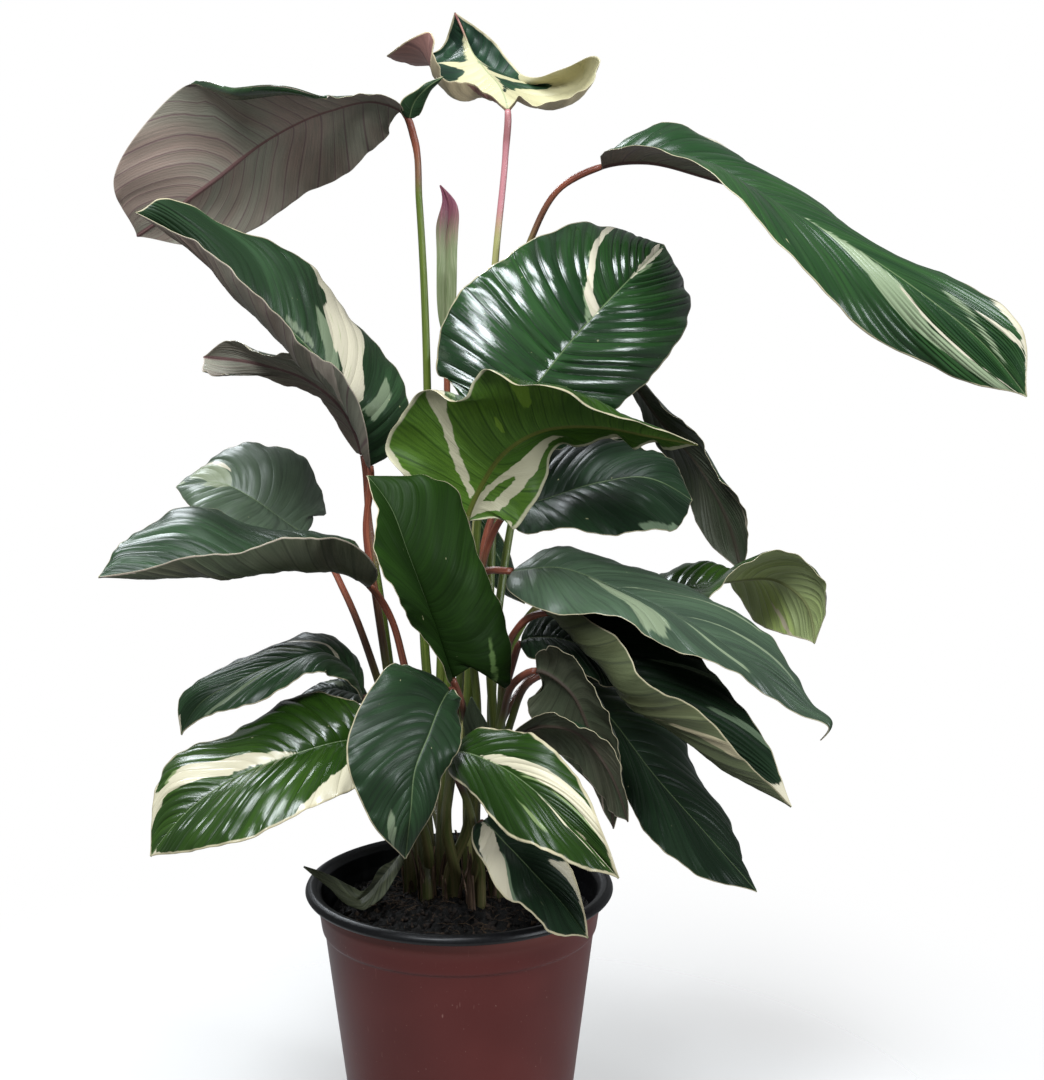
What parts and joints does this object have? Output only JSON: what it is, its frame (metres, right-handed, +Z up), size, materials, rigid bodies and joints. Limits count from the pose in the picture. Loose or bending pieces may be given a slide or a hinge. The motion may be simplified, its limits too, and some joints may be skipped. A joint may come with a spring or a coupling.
{
  "type": "potted plant",
  "caption": "Potted prayer plant with upright leaf stems and broad waved leaves, dark green with cream sectors, in a round tapered nursery pot of potting mix.",
  "frame": {"origin": "centre of the pot's flat underside", "axes": "+Z up out of the pot, -Y towards the side that the picture shows, +X to the right of the picture"},
  "size_m": [0.4548, 0.3157, 0.5992],
  "materials": {
    "pot": "satin",
    "potting_mix": "matte",
    "stem": "satin",
    "blade": "gloss",
    "young_leaf": "satin",
    "withered_leaf": "matte",
    "sheath": "matte"
  },
  "bodies": {
    "root": {"pot": "pot", "potting_mix": "potting_mix", "stems_left_back": "stem", "stems_left": "stem", "stems_back": "stem", "stems_middle": "stem", "stems_back_middle": "stem", "stems_right_back": "stem", "stems_right": "stem", "stems_front": "stem", "leaf_top_left": "blade", "leaf_left_trough": "blade", "leaf_left_under": "blade", "leaf_left_mid_back": "blade", "leaf_left_mid": "blade", "leaf_left_low_back": "blade", "leaf_left_small": "blade", "leaf_left_front": "blade", "leaf_hanging_front": "blade", "leaf_front_tall": "blade", "leaf_broad_backlit": "blade", "leaf_right_mid_dark": "blade", "leaf_glossy_upper": "blade", "leaf_top_leaf": "blade", "leaf_long_right": "blade", "leaf_right_under": "blade", "leaf_right_bright": "blade", "leaf_right_long_low": "blade", "leaf_right_dark_long": "blade", "leaf_right_small_dark": "blade", "leaf_right_hanging": "blade", "leaf_front_under_wide": "blade", "leaf_front_under_arch": "blade", "leaf_front_right": "blade", "leaf_front_low": "blade", "leaf_rolled_spear": "young_leaf", "leaf_side_leaflet": "blade", "leaf_withered": "withered_leaf", "leaf_front_sheath": "sheath", "leaf_back_leaf": "blade", "leaf_back_low_left": "blade", "leaf_back_low_right": "blade", "leaf_back_mid": "blade"}
  },
  "joints": []
}
